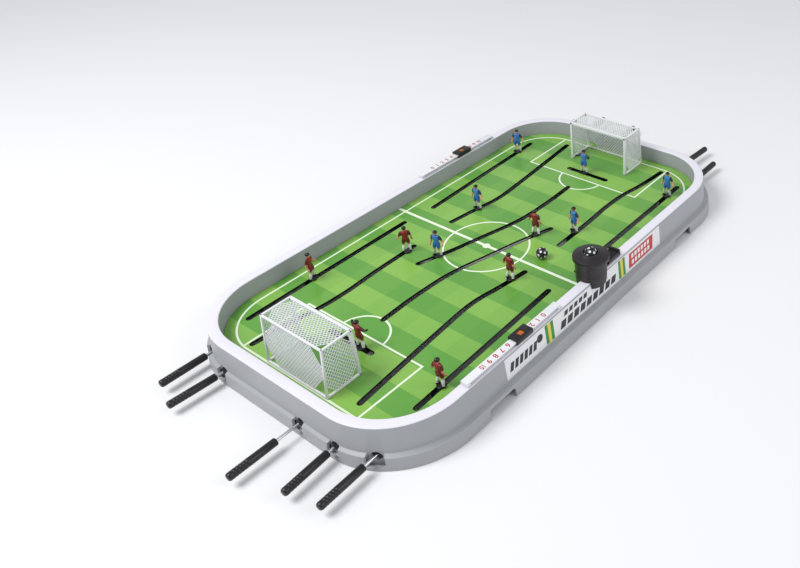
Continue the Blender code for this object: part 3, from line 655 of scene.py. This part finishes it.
# %% Place the players
STANCE = {  # facing of each figure, in degrees from straight at the opponents' goal
    "red": {"left_wing": -60.0, "left_half": 50.0, "centre": 10.0, "right_half": 0.0, "right_wing": 0.0},
    "blue": {"left_wing": 0.0, "left_half": -15.0, "centre": 15.0, "right_half": 0.0, "right_wing": 20.0},
}
KEEPERS = {"red": (-204.5, -16.0), "blue": (204.5, 5.0)}
BOARD_TOP = 24.0
DISC_FOOT, DISC_TOP = BOARD_TOP + 0.4, BOARD_TOP + 1.6


def foot_bm(place, keeper):
    """Foot disc with what goes through the board below it."""
    bm = bar_bm((0, 0, DISC_FOOT), (0, 0, DISC_TOP), 4.8, 4.5, 40)
    rim_edges = [edge for edge in bm.edges if all(vert.co.z > DISC_TOP - 0.1 for vert in edge.verts)]
    bmesh.ops.bevel(bm, geom=rim_edges, offset=0.3, segments=2, profile=0.5, affect="EDGES", material=-1)
    if keeper:
        box_bm((-2.8, -4.0, 18.8), (2.8, 4.0, DISC_FOOT + 0.3), bm)
        box_bm((-6.0, -6.0, 18.6), (6.0, 6.0, 21.2), bm)
    else:
        bar_bm((0, 0, ROD_Z + 4.4), (0, 0, DISC_FOOT + 0.3), 1.0, 1.0, 20, bm)
        bar_bm((0, 0, ROD_Z + 1.2), (0, 0, ROD_Z + 4.7), 0.9, 4.4, 32, bm)
    bmesh.ops.transform(bm, matrix=place, verts=bm.verts)
    return bm


def stand_player(side, name, x, y, angle, body):
    keeper = name == "keeper"
    place = Matrix.Translation((x, y, 0.0)) @ Matrix.Rotation(angle, 4, "Z")
    bm, materials = figure_mesh(side, keeper)
    lift = Matrix.Translation((0.0, 0.0, DISC_TOP - 0.2)) @ Matrix.Diagonal((*BUILD, 1.0))
    bmesh.ops.transform(bm, matrix=place @ lift, verts=bm.verts)
    foot = foot_bm(place, keeper)
    for face in foot.faces:
        face.material_index = len(materials)
    merge_bm(bm, foot)
    node = side + "_" + name + "_player"
    return make_piece(node + "_figure", bm, materials + [DISC[side]], body, [node], sharp=50.0)


for side, half_turn in (("red", 0.0), ("blue", math.pi)):
    for name, facing in STANCE[side].items():
        pivot = [c / MM for c in JOINTS[side + "_" + name + "_spin"]["pos_m"]]
        body = side + "_" + name + "_figure"
        stand_player(side, name, pivot[0], pivot[1], half_turn + math.radians(facing), body)
    x, y = KEEPERS[side]
    stand_player(side, "keeper", x, y, half_turn, side + "_keeper")

# %% [markdown]
# ## Rods and grips
# Each rod is bright drawn steel wire, with a black moulded grip that has shallow rings for the fingers.
# Both are turned shapes, so a profile of a few points is spun about the rod's axis. The axis and the
# ends come from the joint and from the plain part, so the turned pieces lie exactly where those lie.

# %% Drawn steel
def drawn_steel():
    material, tree, shader = new_material("drawn_steel_wire", "C9CBD0", 0.22, metallic=1.0)
    place = add_node(tree, "ShaderNodeTexCoord").outputs["Object"]
    streak = add_node(tree, "ShaderNodeTexNoise", {"Vector": place, "Scale": 700.0, "Detail": 2.0})
    rough = add_node(tree, "ShaderNodeMapRange", {"Value": streak.outputs["Fac"], "To Min": 0.16,
                                                  "To Max": 0.34})
    tree.links.new(rough.outputs["Result"], shader.inputs["Roughness"])
    return material


STEEL = drawn_steel()


def turned_bm(profile, steps=32):
    """Spin a profile of (radius, height) about z. A height at radius 0 closes an end."""
    bm = bmesh.new()
    verts = [bm.verts.new((radius, 0.0, height)) for radius, height in profile]
    edges = [bm.edges.new(pair) for pair in zip(verts, verts[1:])]
    bmesh.ops.spin(bm, geom=verts + edges, cent=(0, 0, 0), axis=(0, 0, 1), angle=2 * math.pi, steps=steps,
                   use_merge=True, use_duplicate=False)
    bmesh.ops.remove_doubles(bm, verts=bm.verts, dist=0.0005)
    bmesh.ops.recalc_face_normals(bm, faces=bm.faces)
    return bm


# %% Turn the rods and grips
def grip_profile(length):
    profile = [(0.0, 0.0), (1.5, 0.0), (3.3, 0.25), (3.85, 1.0)]
    rings = 5
    for ring in range(rings):
        z = length * 0.62 + ring * 3.2
        profile += [(4.0, z - 1.0), (4.0, z - 0.55), (3.6, z), (4.0, z + 0.55)]
    profile += [(4.0, length - 2.2), (3.6, length - 0.8), (2.8, length - 0.15), (0.0, length)]
    return profile


def along_rod(node, pivot, axis):
    """How far a part reaches along the rod, least and most, from the pivot."""
    reach = [(Vector(vert.co) / MM - pivot).dot(axis) for vert in frame["nodes"][node].data.vertices]
    return min(reach), max(reach)


for side in STANCE:
    for name in STANCE[side]:
        joint = JOINTS[side + "_" + name + "_turn"]
        pivot, axis = Vector(joint["pos_m"]) / MM, Vector(joint["axis"]).normalized()
        stem = side + "_" + name
        outer, inner = along_rod(stem + "_grip", pivot, axis)
        rod_end, _ = along_rod(stem + "_rod", pivot, axis)
        turn = (-axis).to_track_quat("Z", "Y")
        gear = [(0.0, 1.2), (0.9, 1.2), (4.4, 4.7), (1.5, 4.75)]
        rod = turned_bm(gear + [(1.5, -rod_end - 0.3), (0.0, -rod_end)], 24)
        grip = turned_bm(grip_profile(inner - outer))
        for bm, start in ((rod, 0.0), (grip, -inner)):
            place = Matrix.LocRotScale(pivot - axis * start, turn, None)
            bmesh.ops.transform(bm, matrix=place, verts=bm.verts)
        make_piece(stem + "_rod_wire", rod, [STEEL], stem + "_rod", [stem + "_rod"])
        make_piece(stem + "_grip_moulding", grip, [BLACK_ABS], stem + "_rod", [stem + "_grip"])
        dress(stem + "_carriage", GEAR_POM)
        if stem + "_bush" in frame["nodes"]:
            dress(stem + "_bush", BLACK_ABS)

# %% [markdown]
# ## Score rails
# A score rail is a raised white strip on two feet, printed with red numbers from 0 to 10, and a black
# sleeve with an amber window slides along it. The strip is a bevelled box, and the numbers are text
# made into thin meshes, which stay sharp where a painted texture would blur.

# %% Rails, numbers and markers
RED_INK = paint("red_ink", "B0222A", 0.4)
AMBER, _, amber_shader = new_material("amber_acrylic", "F08A2C", 0.12)
amber_shader.inputs["Transmission Weight"].default_value = 0.55
RAIL_Y, RAIL_LENGTH, RAIL_HALF = 155.0, 138.0, 4.5
RAILS = {"near": (-131.0, -1), "far": (116.0, 1)}
STRIP_LOW, STRIP_TOP = LIP_TOP + 2.9, LIP_TOP + 4.5
NUMBER_TALL, NUMBER_STEP, ZERO_FROM_MIDDLE, TEN_SQUEEZE = 8.2, 9.0, 46.0, 0.72
CHANNEL_HALF, WINDOW_HALF = 4.9, (3.4, 3.2)


def bevelled_box(low, high, offset, bm=None):
    bm = bm or bmesh.new()
    before = set(bm.verts)
    box_bm(low, high, bm)
    edges = list({edge for vert in bm.verts if vert not in before for edge in vert.link_edges})
    bmesh.ops.bevel(bm, geom=edges, offset=offset, segments=2, profile=0.5, affect="EDGES", material=-1)
    return bm


def number_bm(text, height):
    """Digits as a thin flat mesh about the origin."""
    curve = bpy.data.curves.new("digits", "FONT")
    curve.body = text
    curve.size = height
    curve.align_x = "CENTER"
    curve.align_y = "CENTER"
    curve.extrude = 0.04
    curve.offset = 0.14
    shape = bpy.data.objects.new("digits", curve)
    bpy.context.scene.collection.objects.link(shape)
    mesh = bpy.data.meshes.new_from_object(shape.evaluated_get(bpy.context.evaluated_depsgraph_get()))
    bpy.data.objects.remove(shape, do_unlink=True)
    bm = bmesh.new()
    bm.from_mesh(mesh)
    return bm


def score_rail(name, x, sign):
    half, y = RAIL_LENGTH / 2, sign * RAIL_Y
    bm = bevelled_box((x - half, y - RAIL_HALF, STRIP_LOW), (x + half, y + RAIL_HALF, STRIP_TOP), 0.35)
    for end in (-1, 1):
        middle = x + end * (half - 2.0)
        foot_half = RAIL_HALF - 0.05
        bevelled_box((middle - 2.0, y - foot_half, LIP_TOP + 0.3),
                     (middle + 2.0, y + foot_half, STRIP_LOW + 0.5), 0.3, bm)
    return make_piece("score_rail_strip_" + name, bm, [WHITE_ABS], "arena", ["score_rail_" + name])


def score_numbers(name, x, sign):
    bm = bmesh.new()
    for score in range(11):
        digits = number_bm(str(score), NUMBER_TALL)
        # The numbers are read from across the pitch, and 10 is squeezed to the width of one digit.
        along = x + sign * (NUMBER_STEP * score - ZERO_FROM_MIDDLE)
        place = Matrix.Translation((along, sign * RAIL_Y, STRIP_TOP + 0.02))
        turn = Matrix.Rotation(math.pi if sign < 0 else 0.0, 4, "Z")
        squeeze = Matrix.Diagonal((TEN_SQUEEZE if score == 10 else 1.0, 1.0, 1.0, 1.0))
        bmesh.ops.transform(digits, matrix=place @ turn @ squeeze, verts=digits.verts)
        merge_bm(bm, digits)
    return make_piece("score_numbers_" + name, bm, [RED_INK], "arena")


def score_marker(name, x, sign):
    y = sign * RAIL_Y
    bm = bevelled_box((x - 12.0, y - 6.5, LIP_TOP + 1.6), (x + 12.0, y + 6.5, LIP_TOP + 7.0), 0.7)
    piece = make_piece("score_marker_sleeve_" + name, bm, [BLACK_ABS], "score_marker_" + name,
                       ["score_marker_" + name])
    channel = box_bm((x - 14.0, y - CHANNEL_HALF, STRIP_LOW - 0.4),
                     (x + 14.0, y + CHANNEL_HALF, STRIP_TOP + 0.4))
    wide, deep = WINDOW_HALF
    window = box_bm((x - wide, y - deep, STRIP_TOP), (x + wide, y + deep, STRIP_TOP + 9.0))
    cut(piece, [channel])
    cut(piece, [window])
    piece.data.shade_smooth()
    piece.data.set_sharp_from_angle(angle=math.radians(38.0))
    lens = bevelled_box((x - 3.2, y - 3.0, STRIP_TOP + 1.0), (x + 3.2, y + 3.0, STRIP_TOP + 1.9), 0.2)
    make_piece("score_marker_lens_" + name, lens, [AMBER], "score_marker_" + name)
    return piece


for name, (x, sign) in RAILS.items():
    score_rail(name, x, sign)
    score_numbers(name, x, sign)
    low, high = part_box("score_marker_" + name)
    score_marker(name, (low[0] + high[0]) / 2 / MM, sign)

# %% [markdown]
# ## Kick-off ball holder
# The holder is a plum-black cup that clips over the rim beside the halfway line. A ball waits in its
# well, and pulling the tab along the rim opens the gate below, so the ball rolls down a chute on to the
# pitch. The cup is turned, the clip, well, chute and gate slot are cut, and the edges are rounded.

# %% Holder and gate
HOLDER = (2.0, -152.0)
WELL = 7.8
TONGUE_TOP = 64.8
TONGUE_THICK, TAB_TOP, TAB_LIP, GATE_HALF = 2.8, 50.5, 53.0, 7.2


def holder_piece():
    profile = [(0.0, 74.0), (9.8, 74.0), (10.6, 73.8), (11.2, 73.4), (11.5, 72.6), (12.2, 72.2),
               (18.2, 71.0), (19.6, 70.3), (20.0, 69.4), (20.0, 66.4), (19.4, 65.4), (17.9, 63.9),
               (17.6, 63.0), (17.4, 52.0), (17.1, 51.6), (17.1, 50.6), (17.4, 50.2), (17.0, 40.0),
               (16.2, 36.6), (15.4, 36.0), (0.0, 36.0)]
    bm = turned_bm(profile, 64)
    bmesh.ops.translate(bm, vec=(*HOLDER, 0.0), verts=bm.verts)
    x, y = HOLDER
    piece = make_piece("kickoff_holder_cup", bm, [HOLDER_ABS], "arena", ["kickoff_holder"])
    outer, inner = -HALF_WIDTH - 1.4, -HALF_WIDTH + LIP + 0.4
    cut(piece, [box_bm((x - 30.0, outer, 30.0), (x + 30.0, inner, LIP_TOP + 0.3))])
    cut(piece, [bar_bm((x, y, 56.0), (x, y, 80.0), WELL, WELL, 48)])
    cut(piece, [bar_bm((x, y, 62.0), (x, y + 26.0, 40.5), WELL, WELL, 48)])
    cut(piece, [box_bm((x - 9.4, y - 7.6, TONGUE_TOP - 3.2), (x + 40.0, y + 7.6, TONGUE_TOP + 0.4))])
    piece.data.shade_smooth()
    piece.data.set_sharp_from_angle(angle=math.radians(32.0))
    return piece


def gate_piece():
    x, y = HOLDER
    low = LIP_TOP + 0.9
    bm = bevelled_box((x - 9.0, y - GATE_HALF, TONGUE_TOP - TONGUE_THICK),
                      (x + 24.0, y + GATE_HALF, TONGUE_TOP), 0.4)
    bevelled_box((x + 19.0, y - GATE_HALF, low), (x + 24.0, y + GATE_HALF, TONGUE_TOP), 0.4, bm)
    bevelled_box((x + 19.0, y - GATE_HALF, low), (x + 46.0, y + GATE_HALF, TAB_TOP), 0.8, bm)
    bevelled_box((x + 43.0, y - GATE_HALF, low), (x + 46.0, y + GATE_HALF, TAB_LIP), 0.6, bm)
    for step in range(4):
        ridge = x + 30.0 + 3.2 * step
        bevelled_box((ridge - 0.6, y - 6.0, 50.2), (ridge + 0.6, y + 6.0, 51.1), 0.25, bm)
    return make_piece("kickoff_gate_tab", bm, [HOLDER_ABS], "kickoff_gate", ["kickoff_gate"])


holder_piece()
gate_piece()

# %% [markdown]
# ## Balls
# Each ball is black with white panels. The classic panel pattern is a truncated icosahedron, which
# is what an icosahedron becomes when its vertices are bevelled by a third of an edge: twelve pentagons
# and twenty hexagons. The hexagons are inset and painted white, then the faces are divided and pushed
# out to the sphere.

# %% Panelled balls
def ball_bm(radius, centre):
    bm = bmesh.new()
    bmesh.ops.create_icosphere(bm, subdivisions=1, radius=radius)
    bmesh.ops.bevel(bm, geom=bm.verts[:], offset=33.3, offset_type="PERCENT", segments=1, profile=0.5,
                    affect="VERTICES", material=-1)
    hexagons = [face for face in bm.faces if len(face.verts) == 6]
    bmesh.ops.inset_individual(bm, faces=hexagons, thickness=radius * 0.15, use_even_offset=True)
    for face in bm.faces:
        face.material_index = 0
    for face in hexagons:
        face.material_index = 1
    bmesh.ops.triangulate(bm, faces=bm.faces)
    bmesh.ops.subdivide_edges(bm, edges=bm.edges[:], cuts=5, use_grid_fill=True)
    for vert in bm.verts:
        vert.co = vert.co.normalized() * radius
    bmesh.ops.rotate(bm, matrix=Matrix.Rotation(0.4, 3, "X"), verts=bm.verts)
    bmesh.ops.translate(bm, vec=centre, verts=bm.verts)
    return bm


for node in ("kickoff_ball", "match_ball"):
    low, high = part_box(node)
    centre = [(a + b) / 2 / MM for a, b in zip(low, high)]
    panels = ball_bm(6.95, centre)
    make_piece(node + "_panels", panels, [BLACK_ABS, WHITE_ABS], "arena", [node], sharp=80.0)

# %% [markdown]
# ## Stickers
# A printed vinyl sticker runs along each long wall between the corners. Its own lettering is not copied:
# plain slanted bars stand for words. The wall leans, so the print is drawn flat, in x and height, and
# then sheared out to lie just proud of the wall.

# %% Sticker print
VINYL = paint("white_vinyl", "E9EAEC", 0.28)
INKS = {"ink_black": paint("black_ink", "1B1B1E", 0.3), "ink_green": paint("green_ink", "2E8B3A", 0.3),
        "ink_yellow": paint("yellow_ink", "E6CF3A", 0.3), "ink_red": paint("sticker_red_ink", "C0262C", 0.3)}
STICKER_LOW, STICKER_HIGH = 17.0, 41.5


def wall_out(z):
    """How far the side wall stands out from the lip's line at a height."""
    return 2.6 * (LIP_TOP - z) / (LIP_TOP - SKIRT_TOP - 1.2)


def slanted_bar(bm, x, width, low, high, lean, layer, material_index):
    middle, size = (x + width / 2, 0.0, (low + high) / 2), (width, 0.12 + layer * 0.05, high - low)
    matrix = Matrix.LocRotScale(Vector(middle), None, Vector(size))
    made = bmesh.ops.create_cube(bm, size=1.0, matrix=matrix)["verts"]
    for vert in made:
        vert.co.x += lean * (vert.co.z - low)
        vert.co.y -= layer * 0.025
    for face in {face for vert in made for face in vert.link_faces}:
        face.material_index = material_index


def word(bm, x, count, pitch, width, low, high, lean, layer, ink):
    """A row of slanted bars. Heights are fractions of the sticker's."""
    tall = STICKER_HIGH - STICKER_LOW
    for index in range(count):
        slanted_bar(bm, x + pitch * index, width, STICKER_LOW + low * tall, STICKER_LOW + high * tall,
                    lean, layer, ink)


def sticker_bm():
    bm = bmesh.new()
    slanted_bar(bm, -152.0, 279.0, STICKER_LOW, STICKER_HIGH, 0.0, 0, 0)
    for x in (-91.0, 40.0):
        for index, ink in ((0, 2), (1, 3), (2, 2)):
            slanted_bar(bm, x + 4.4 * index, 4.4, STICKER_LOW + 0.8, STICKER_HIGH - 0.8, 0.0, 1, ink)
    slanted_bar(bm, 60.0, 50.0, STICKER_LOW + 3.0, STICKER_HIGH - 3.0, 0.12, 1, 4)
    word(bm, 66.0, 6, 6.6, 4.4, 0.56, 0.78, 0.12, 2, 0)
    word(bm, 66.0, 6, 6.6, 4.4, 0.24, 0.46, 0.12, 2, 0)
    word(bm, -68.0, 9, 11.4, 8.6, 0.14, 0.50, 0.35, 1, 1)
    word(bm, -60.0, 5, 8.4, 6.0, 0.64, 0.86, 0.35, 1, 1)
    word(bm, -147.0, 6, 7.0, 5.0, 0.26, 0.66, 0.3, 1, 1)
    upright = Matrix.Translation((-100.0, -0.03, 32.2)) @ Matrix.Rotation(math.pi / 2, 4, "X")
    disc = bmesh.ops.create_cone(bm, cap_ends=True, segments=24, radius1=4.6, radius2=4.6, depth=0.25,
                                 matrix=upright)
    for face in {face for vert in disc["verts"] for face in vert.link_faces}:
        face.material_index = 1
    return bm


for name, half_turn in (("near", 0.0), ("far", math.pi)):
    bm = sticker_bm()
    for vert in bm.verts:
        vert.co.y -= HALF_WIDTH + wall_out(vert.co.z) + 0.05
    bmesh.ops.rotate(bm, matrix=Matrix.Rotation(half_turn, 3, "Z"), verts=bm.verts)
    make_piece("sticker_" + name, bm, [VINYL, *INKS.values()], "arena")

# %% [markdown]
# ## Floor, light and camera
# The game stands on a plain pale floor under soft studio light: one large key from the left, a fill from
# the right, and a pale world. The camera looks along the game from the near end.

# %% Floor
def studio_floor():
    bm = bmesh.new()
    bmesh.ops.create_grid(bm, x_segments=1, y_segments=1, size=6.0)
    mesh = bpy.data.meshes.new("studio_floor")
    bm.to_mesh(mesh)
    bm.free()
    material, _, shader = new_material("pale_paper", "E9E9EA", 0.8)
    mesh.materials.append(material)
    floor = bpy.data.objects.new("studio_floor", mesh)
    floor.location.z = -0.0002
    bpy.context.scene.collection.objects.link(floor)


def soft_light(name, place, target, size, power):
    lamp = bpy.data.lights.new(name, "AREA")
    lamp.shape = "DISK"
    lamp.size = size
    lamp.energy = power
    light = bpy.data.objects.new(name, lamp)
    light.location = place
    light.rotation_euler = (Vector(target) - Vector(place)).to_track_quat("-Z", "Y").to_euler()
    bpy.context.scene.collection.objects.link(light)


studio_floor()
soft_light("key", (-1.0, 0.6, 1.7), (0.0, 0.0, 0.0), 1.0, 28.0)
soft_light("fill", (0.6, -1.7, 1.2), (0.0, 0.0, 0.0), 1.4, 11.0)
world = bpy.data.worlds.new("studio")
world.use_nodes = True
world.node_tree.nodes["Background"].inputs["Color"].default_value = linear("E6E8EC")
world.node_tree.nodes["Background"].inputs["Strength"].default_value = 0.68
bpy.context.scene.world = world
bpy.context.scene.view_settings.view_transform = "Standard"

# %% Camera
AZIMUTH, ELEVATION, ROLL = -53.6, 32.0, -1.54
DISTANCE, TARGET = 1.0265, Vector((0.1412, -0.0514, 0.024))


def studio_camera():
    azimuth, elevation = math.radians(AZIMUTH), math.radians(ELEVATION)
    back = Vector((math.sin(azimuth) * math.cos(elevation), -math.cos(azimuth) * math.cos(elevation),
                   math.sin(elevation)))
    data = bpy.data.cameras.new("camera")
    data.sensor_width = 36.0
    data.lens = 36.0 * 805.9 / 800.0
    data.shift_x = -0.2386
    data.shift_y = -0.0978
    data.clip_start = 0.01
    camera = bpy.data.objects.new("camera", data)
    camera.location = TARGET + back * DISTANCE
    camera.rotation_mode = "QUATERNION"
    camera.rotation_quaternion = (-back).to_track_quat("-Z", "Y") @ Matrix.Rotation(
        math.radians(ROLL), 3, "Z").to_quaternion()
    bpy.context.scene.collection.objects.link(camera)
    bpy.context.scene.camera = camera


studio_camera()
